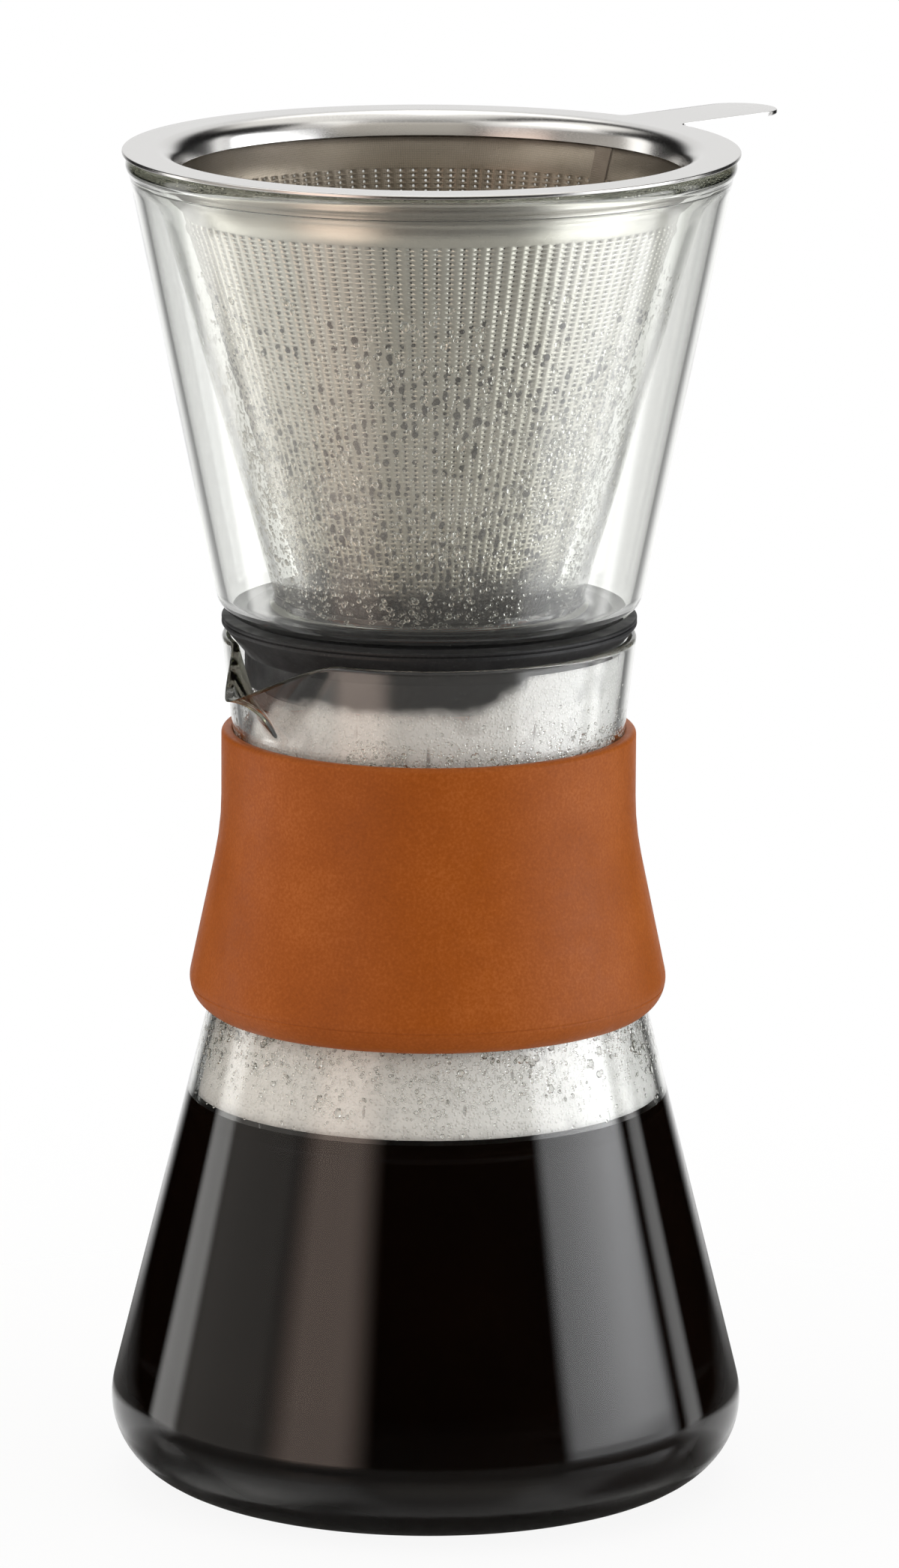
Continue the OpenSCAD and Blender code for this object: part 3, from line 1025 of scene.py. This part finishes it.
def mist(name, dry_z, wet_z, most, thin, right_rise=0, spout_fall=0, foot_z=0, through=0.25):
    """Fine mist that grows from one height to another, with beads, patches and clear runs in it.

    Its thinner places keep the share thin. Its edge can rise towards the right and fall towards
    the spout, by lengths in mm. It clears again towards a foot. It lets a share of the light through.
    """
    look = Look(name, Base_Color=MIST_TINT, Roughness=MIST_ROUGH, IOR=WATER_IOR)
    look.shader.inputs["Transmission Weight"].default_value = through
    beads = look.cells(MIST_BEAD)
    grains = look.ranged(beads, 0.12, 0.5, 1, thin)
    patches = look.ranged(look.noise(8, 3.0, (1, 1, 0.7)), 0.32, 0.44, thin * 0.8, 1)
    runs = look.ranged(look.noise(1.6, 1.0, (1, 1, 0.06)), 0.23, 0.29, 0.3, 1)
    x, _, z = look.parts(look.place())
    wave = look.ranged(look.noise(5, 2.0), 0.3, 0.7, -0.8, 0.8)
    rise = look.ranged(x, 6, 30, 0, -right_rise, smooth=True)
    fall = look.ranged(x, -36, -29, spout_fall, 0, smooth=True)
    level = look.maths("ADD", look.maths("ADD", z, wave), look.maths("ADD", rise, fall))
    damp = look.ranged(level, dry_z, wet_z, 0, most, smooth=True)
    foot = look.ranged(z, foot_z, foot_z + MIST_FOOT, 0.3, 1)
    look.link(look.product(grains, patches, runs, damp, foot), look.shader.inputs["Alpha"])
    look.bump(look.ranged(beads, 0, 0.5, 1, 0), 0.2)
    return look.material


def water():
    look = Look("condensed_water", Base_Color=WATER_TINT, Roughness=0.0, IOR=WATER_IOR)
    look.shader.inputs["Transmission Weight"].default_value = 1.0
    look.bump(look.noise(0.8, 1.0), 0.01)
    look.let_lamps_through()
    return look.material


def terracotta():
    look = Look("terracotta_silicone", Specular_IOR_Level=0.14)
    grain = look.noise(0.55, 3.0)
    clouds = look.noise(17, 2.0)
    both = look.maths("ADD", look.product(grain, 0.55), look.product(clouds, 0.45))
    look.colour(look.ramp(both, [
        (0.3, (0.28, 0.066, 0.007)),
        (0.5, (0.35, 0.086, 0.01)),
        (0.68, (0.43, 0.12, 0.022)),
    ]))
    look.roughness(look.ranged(look.noise(3, 2.0), 0.3, 0.7, 0.4, 0.52))
    look.bump(look.noise(0.4, 2.0), 0.03)
    return look.material


def black_silicone():
    look = Look("black_silicone", Roughness=0.5, Specular_IOR_Level=0.35)
    look.colour(look.ramp(look.noise(0.6, 3.0), [
        (0.35, (0.006, 0.006, 0.007)),
        (0.66, (0.014, 0.014, 0.015)),
        (0.8, (0.07, 0.07, 0.07)),
    ]))
    look.roughness(look.ranged(look.noise(5, 2.0), 0.3, 0.7, 0.4, 0.6))
    look.bump(look.noise(0.5, 2.0), 0.015)
    return look.material


def dark_coffee(name, ior):
    """Coffee, with the index of its surface against air or against the glass around it."""
    look = Look(name, Roughness=0.02, IOR=ior)
    look.colour(look.ramp(look.noise(30, 2.0), [
        (0.3, (0.0025, 0.0014, 0.001)),
        (0.7, (0.0045, 0.0022, 0.0013)),
    ]))
    return look.material


def steel(name, colour, rough, brush, depth):
    """Satin steel with fine marks that run around the piece."""
    look = Look(name, Metallic=1.0)
    marks = look.noise(0.5, 4.0, brush)
    look.colour(look.ramp(marks, [
        (0.3, tuple(c * 0.88 for c in colour)),
        (0.7, colour),
    ]))
    look.roughness(look.ranged(marks, 0.3, 0.7, rough * 0.8, rough * 1.25))
    look.bump(marks, depth)
    return look.material


# Outside of the perforated cone, foot to top: coffee stain with painted shade at the foot.
CONE_STAIN_AND_SHADE = [
    (0.0, (0.015, 0.013, 0.011)),
    (0.12, (0.04, 0.034, 0.028)),
    (0.22, (0.5, 0.475, 0.41)),
    (1.0, (0.6, 0.585, 0.55)),
]
# Inside of the perforated cone: coffee stain with painted shade, dark deep in the filter.
INSIDE_STAIN_AND_SHADE = [
    (0.0, (0.03, 0.025, 0.02)),
    (0.8, (0.06, 0.05, 0.04)),
    (0.95, (0.3, 0.26, 0.2)),
    (1.0, (0.4, 0.35, 0.28)),
]


def stained_and_shaded_steel(name, stops):
    """Satin steel of the perforated cone, darker towards its foot: brown coffee stain with painted
    shade.
    """
    look = Look(name, Metallic=1.0)
    marks = look.noise(0.5, 4.0, (1, 1, 8))
    height = look.parts(look.place())["Z"]
    clouds = look.ranged(look.noise(6, 2.0), 0.3, 0.7, -6, 6)
    # Darker with less height: coffee stain and painted shade.
    level = look.ranged(look.maths("ADD", height, clouds), 170, 250, 0, 1)
    look.colour(look.ramp(level, stops))
    look.roughness(look.ranged(marks, 0.3, 0.7, 0.26, 0.4))
    look.bump(marks, 0.006)
    return look.material


def woven_mesh():
    """Fine wire cloth: wires both ways, with open squares between them."""
    look = Look("woven_mesh", Metallic=1.0, Roughness=0.42)
    parts = look.parts(look.node("ShaderNodeUVMap", uv_map="OFBake").outputs["UV"])
    wires = []
    for axis, count in MESH_WIRES:
        wires.append(look.maths("SINE", look.product(parts[axis], count * 2 * math.pi)))
    top = look.maths("MAXIMUM", wires[0], wires[1])
    height = look.parts(look.place())["Z"]
    clouds = look.ranged(look.noise(7, 3.0), 0.3, 0.7, -4, 4)
    # Darker lower down inside the filter: coffee stain with painted shade.
    look.colour(look.ramp(look.ranged(look.maths("ADD", height, clouds), 220, 260, 0, 1), [
        (0.0, (0.025, 0.02, 0.016)),
        (0.5, (0.06, 0.05, 0.04)),
        (0.75, (0.2, 0.17, 0.13)),
        (1.0, (0.29, 0.25, 0.205)),
    ]))
    look.bump(look.ranged(top, -1, 1, 0, 1), 0.05)
    off_seam = look.maths("ABSOLUTE", look.maths("SUBTRACT", parts["X"], MESH_SEAM))
    seam = look.ranged(off_seam, MESH_SEAM_HALF, MESH_SEAM_HALF + 0.001, 1, 0)
    cover = look.maths("MAXIMUM", look.ranged(top, 0.84, 0.97, 0.0, 1), seam)
    look.link(cover, look.shader.inputs["Alpha"])
    return look.material


def dress(thing, body, materials, nodes=()):
    for material in materials:
        thing.data.materials.append(material)
    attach(thing, body)
    if nodes:
        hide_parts(*nodes)


def dress_cad(node, material):
    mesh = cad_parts[node].data
    mesh.materials.clear()
    mesh.materials.append(material)


RIM_COLOUR = (0.60, 0.59, 0.575)
DISC_COLOUR = (0.42, 0.37, 0.31)
SHOULDER_LOW = COFFEE_TOP + 2
SHOULDER_HIGH = SLEEVE_LOW + 3
NECK_LOW = SLEEVE_TOP - 4
NECK_HIGH = CARAFE_H - 1.5


def build_carafe(coffee_looks):
    carafe_glass = glass("carafe_glass_look")
    dress(make_carafe(), "carafe", [carafe_glass], ["carafe"])
    dress(make_sleeve(), "carafe", [terracotta()], ["grip_sleeve"])
    dress(make_coffee(), "carafe", coffee_looks, ["coffee"])


def build_dripper():
    dress(make_gasket(), "gasket", [black_silicone()], ["gasket"])
    dripper_glass = glass("dripper_glass_look")
    dripper_walls = ["dripper_outer_wall", "dripper_inner_wall"]
    dress(make_dripper(), "dripper", [dripper_glass], dripper_walls)


def build_filter():
    rim_steel = steel("rim_steel_look", RIM_COLOUR, rough=0.2, brush=(1, 1, 6), depth=0.002)
    dress(make_rim(), "filter", [rim_steel], ["filter_rim"])
    cone_steel = stained_and_shaded_steel("cone_steel_look", CONE_STAIN_AND_SHADE)
    inside_steel = stained_and_shaded_steel("cone_inside_look", INSIDE_STAIN_AND_SHADE)
    half = HOLE_COLUMNS // 2
    for name, first in (("filter_cone_half_a", 0), ("filter_cone_half_b", half)):
        sheet = PerforatedSheet(first, first + half)
        thing = mesh_object(name, sheet.verts, sheet.faces, sheet.slots)
        dress(thing, "filter", [cone_steel, inside_steel], ["filter_outer_cone"])
    dress(make_mesh_cone(), "filter", [woven_mesh()], ["filter_mesh_cone"])
    dress_cad("filter_base_cap", cone_steel)
    disc_steel = steel("mesh_disc_look", DISC_COLOUR, rough=0.45, brush=(4, 4, 1), depth=0.02)
    dress_cad("filter_mesh_disc", disc_steel)


def build_mist():
    film = make_film("dripper_mist", inner_wall, 174, 250, FILM_GAP)
    look = mist("dripper_mist_look", dry_z=252, wet_z=205, most=0.15, thin=0.5, foot_z=182)
    dress(film, "dripper", [look])
    film = make_film("shoulder_mist", carafe_shoulder, SHOULDER_LOW, SHOULDER_HIGH, FILM_BEHIND_DROPS)
    low = COFFEE_TOP - 1
    look = mist("shoulder_mist_look", low, low + 6, most=1.0, thin=0.95, through=0.0)
    dress(film, "carafe", [look])
    film = make_film("neck_mist", carafe_neck, NECK_LOW, NECK_HIGH, FILM_BEHIND_DROPS, spout)
    top = GASKET_LOW + 2.5
    look = mist("neck_mist_look", top, top - 4.5, most=0.95, thin=0.65, right_rise=11, spout_fall=13)
    dress(film, "carafe", [look])


DRIPPER_DROPS = {
    "dripper_drops": (174, 248, 6500, (0.2, 1.0), dripper_wet, 11),
    "dripper_beads": (190, 244, 700, (0.5, 1.3), bead_wet, 15),
}
FILTER_DROPS = {"filter_coffee_drops": (178, 242, 3400, (0.3, 1.1), seep_wet, 16)}
SHOULDER_DROPS = {
    "shoulder_drops": (SHOULDER_LOW, SHOULDER_HIGH, 4200, (0.2, 0.7), shoulder_wet, 12),
    "shoulder_runs": (SHOULDER_LOW, SLEEVE_LOW, 90, (0.7, 1.5), run_wet, 14),
}
NECK_DROPS = {"neck_drops": (NECK_LOW, CARAFE_H - 8, 3000, (0.2, 0.75), neck_wet, 13)}


def build_drops(coffee_look):
    """Each row holds the lowest and highest z, the count, the sizes, the density and the seed."""
    clear = water()
    for rows, surface, body, slot, look in (
        (DRIPPER_DROPS, inner_wall, "dripper", "dripper_glass", clear),
        (FILTER_DROPS, cone_outside, "filter", "coffee", coffee_look),
        (SHOULDER_DROPS, carafe_shoulder, "carafe", "carafe_glass", clear),
        (NECK_DROPS, carafe_neck, "carafe", "carafe_glass", clear),
    ):
        for name, row in rows.items():
            dress(make_drops(name, surface, *row), body, [look])


def build():
    in_glass = dark_coffee("coffee_in_glass", COFFEE_IN_GLASS_IOR)
    in_air = dark_coffee("coffee_in_air", WATER_IOR)
    build_carafe([in_glass, in_air])
    build_dripper()
    build_filter()
    build_mist()
    build_drops(in_air)


# Stage

CAMERA_AT = (0.0041, -1.880, 0.545)
CAMERA_DOWN = 12.2
CAMERA_ROLL = 0.3
CAMERA_LENS = 225.7


def make_camera():
    data = bpy.data.cameras.new("camera")
    data.lens = CAMERA_LENS
    data.sensor_width = 36
    data.clip_start = 0.05
    data.clip_end = 60
    camera = bpy.data.objects.new("camera", data)
    camera.location = CAMERA_AT
    camera.rotation_mode = "QUATERNION"
    tilt = Quaternion((1, 0, 0), math.radians(90 - CAMERA_DOWN))
    camera.rotation_quaternion = tilt @ Quaternion((0, 0, 1), math.radians(CAMERA_ROLL))
    bpy.context.scene.collection.objects.link(camera)
    bpy.context.scene.camera = camera


FLOOR_Z = -0.0003
FLOOR_NEAR = 0.08
FLOOR_FULL = 0.11
FLOOR_END = 0.34
FLOOR_WHITE = 0.9
FLOOR_DIM = 0.85
FLOOR_SIDE = 0.06
FLOOR_SIDE_Y = (-0.02, 0.01, 0.05, 0.075)


def grey(value):
    return (value, value, value, 1)


def floor_shade(nodes, away):
    """What dark reflections see: a sheen near the object, and a dark table farther out."""
    dark = nodes.node("ShaderNodeBsdfDiffuse")
    dark.inputs["Color"].default_value = grey(0.02)
    sheen = nodes.node("ShaderNodeBsdfGlossy")
    sheen.inputs["Color"].default_value = grey(0.5)
    sheen.inputs["Roughness"].default_value = 0.2
    near = nodes.ranged(away, FLOOR_NEAR, FLOOR_FULL, 1, 0)
    return nodes.mixed(near, dark.outputs[0], sheen.outputs[0])


def floor_look():
    """White, and darker in reflections except close beside the object."""
    material = bpy.data.materials.new("floor_white")
    material.use_nodes = True
    material.node_tree.nodes.clear()
    nodes = Nodes(material.node_tree)
    diffuse = nodes.node("ShaderNodeBsdfDiffuse")
    diffuse.inputs["Color"].default_value = grey(FLOOR_WHITE)
    glow = nodes.node("ShaderNodeEmission")
    path = nodes.node("ShaderNodeLightPath").outputs
    place = nodes.node("ShaderNodeTexCoord").outputs["Object"]
    x, y, _ = nodes.parts(place)
    start, full, low, end = FLOOR_SIDE_Y
    beside = nodes.product(
        nodes.ranged(nodes.maths("ABSOLUTE", x), FLOOR_SIDE, FLOOR_SIDE + 0.01, 0, 1),
        nodes.ranged(y, start, full, 0, 1),
        nodes.ranged(y, low, end, 1, 0),
    )
    seen = nodes.maths("MAXIMUM", path["Is Camera Ray"], path["Is Transmission Ray"])
    seen = nodes.maths("MAXIMUM", seen, nodes.product(path["Is Glossy Ray"], beside))
    white = nodes.mixed(nodes.product(seen, FLOOR_WHITE), diffuse.outputs[0], glow.outputs[0])
    length = nodes.node("ShaderNodeVectorMath", operation="LENGTH")
    nodes.link(place, length.inputs[0])
    away = length.outputs["Value"]
    front = nodes.maths("SUBTRACT", 1.0, beside)
    dim = nodes.product(path["Is Glossy Ray"], front, FLOOR_DIM)
    white = nodes.mixed(dim, white, floor_shade(nodes, away))
    fade = nodes.ranged(away, FLOOR_FULL, FLOOR_END, 0, 1, smooth=True)
    clear = nodes.node("ShaderNodeBsdfTransparent")
    out = nodes.node("ShaderNodeOutputMaterial")
    nodes.link(nodes.mixed(fade, white, clear.outputs[0]), out.inputs["Surface"])
    return material


def make_floor():
    """A white disc whose edge fades away, so that it has no border in any view."""
    sides = 96
    turns = [2 * math.pi * k / sides for k in range(sides)]
    ring = [(FLOOR_END * math.cos(a), FLOOR_END * math.sin(a), FLOOR_Z) for a in turns]
    floor = mesh_object("floor", ring, [list(range(sides))])
    floor.data.materials.append(floor_look())


PLAIN = (1.0, 1.0, 1.0)
PALE = (1.0, 0.99, 0.97)
MILK = (1.0, 0.99, 0.96)
IVORY = (1.0, 0.97, 0.92)
CREAM = (1.0, 0.95, 0.88)
SAND = (1.0, 0.95, 0.86)
ROSE = (1.0, 0.79, 0.68)
COOL = (0.97, 0.98, 1.0)


def studio_lights(nodes):
    """Tall lights at both sides, two overhead, the white table and a white wall behind.

    Turns are degrees from the camera's side of the object, to the right.
    """
    x, y, z = nodes.parts(nodes.node("ShaderNodeTexCoord").outputs["Generated"])
    degrees = 180 / math.pi
    turn = nodes.product(nodes.maths("ARCTAN2", x, nodes.product(y, -1)), degrees)
    height = nodes.product(nodes.maths("ARCSINE", z), degrees)

    def band(value, low, high, soft):
        rise = nodes.ranged(value, low - soft, low + soft, 0, 1, smooth=True)
        fall = nodes.ranged(value, high - soft, high + soft, 1, 0, smooth=True)
        return nodes.product(rise, fall)

    def light(strength, colour, *masks):
        made = nodes.node("ShaderNodeBackground")
        made.inputs["Color"].default_value = (*colour, 1)
        nodes.link(nodes.product(*masks, strength), made.inputs["Strength"])
        return made.outputs[0]

    low = band(height, -32, 24, 6)
    level = band(height, 3, 21, 3)
    high = band(height, 28, 58, 5)
    wall = nodes.ranged(height, -24, -10, 0, 1, smooth=True)
    table = nodes.ranged(height, -10, -24, 0, 1, smooth=True)
    overhead = nodes.ranged(z, 0.56, 0.74, 0, 1, smooth=True)
    fore = nodes.ranged(y, -0.7, 0.0, 0.25, 1)
    off = nodes.maths("ABSOLUTE", turn)
    behind = nodes.ranged(off, 150, 168, 0, 1, smooth=True)
    beside = nodes.ranged(off, 45, 85, 0, 1, smooth=True)
    before = nodes.ranged(off, 45, 85, 1, 0, smooth=True)
    rightward = nodes.ranged(turn, 50, 98, 0.12, 1)
    return [
        light(1.0, PLAIN, behind, wall),
        light(2.2, PALE, band(turn, -118, -103, 3), low),
        light(0.6, CREAM, band(turn, -104, -60, 8), low),
        light(1.9, ROSE, band(turn, -56, -26, 8), low),
        light(3.8, COOL, band(turn, 54, 103, 4), rightward, level),
        light(1.9, COOL, band(turn, 54, 103, 4), low),
        light(1.6, PLAIN, band(turn, 110, 119, 3), low),
        light(0.4, PLAIN, table, band(turn, 55, 105, 15)),
        light(0.7, SAND, band(turn, -20, 50, 6), band(height, 22, 46, 4)),
        light(1.3, PALE, band(turn, -95, -25, 8), high),
        light(0.9, PALE, band(turn, 45, 80, 8), high),
        light(0.75, PLAIN, table, beside, nodes.ranged(off, 105, 145, 1, 0.75)),
        light(0.42, IVORY, table, before),
        light(1.3, MILK, overhead, band(x, -0.27, 0.6, 0.08), fore),
        light(1.7, MILK, overhead, band(x, -0.85, -0.46, 0.06), fore),
    ]


def make_world():
    """A white studio. What is seen directly or through clear glass is white all round."""
    world = bpy.data.worlds.new("studio")
    bpy.context.scene.world = world
    world.use_nodes = True
    world.node_tree.nodes.clear()
    nodes = Nodes(world.node_tree)
    total, *others = studio_lights(nodes)
    for each in others:
        both = nodes.node("ShaderNodeAddShader")
        nodes.link(total, both.inputs[0])
        nodes.link(each, both.inputs[1])
        total = both.outputs[0]
    path = nodes.node("ShaderNodeLightPath").outputs
    bounced = nodes.maths("ADD", path["Glossy Depth"], path["Diffuse Depth"])
    straight = nodes.product(path["Is Transmission Ray"], nodes.maths("LESS_THAN", bounced, 0.5))
    seen = nodes.maths("MAXIMUM", path["Is Camera Ray"], straight)
    white = nodes.node("ShaderNodeBackground")
    white.inputs["Color"].default_value = grey(1.0)
    out = nodes.node("ShaderNodeOutputWorld")
    nodes.link(nodes.mixed(seen, total, white.outputs[0]), out.inputs["Surface"])


def make_stage():
    make_camera()
    make_floor()
    make_world()
    scene = bpy.context.scene
    scene.view_settings.view_transform = "Standard"
    scene.cycles.max_bounces = 64
    scene.cycles.glossy_bounces = 40
    scene.cycles.transmission_bounces = 40
    scene.cycles.transparent_max_bounces = 24


make_stage()
build()
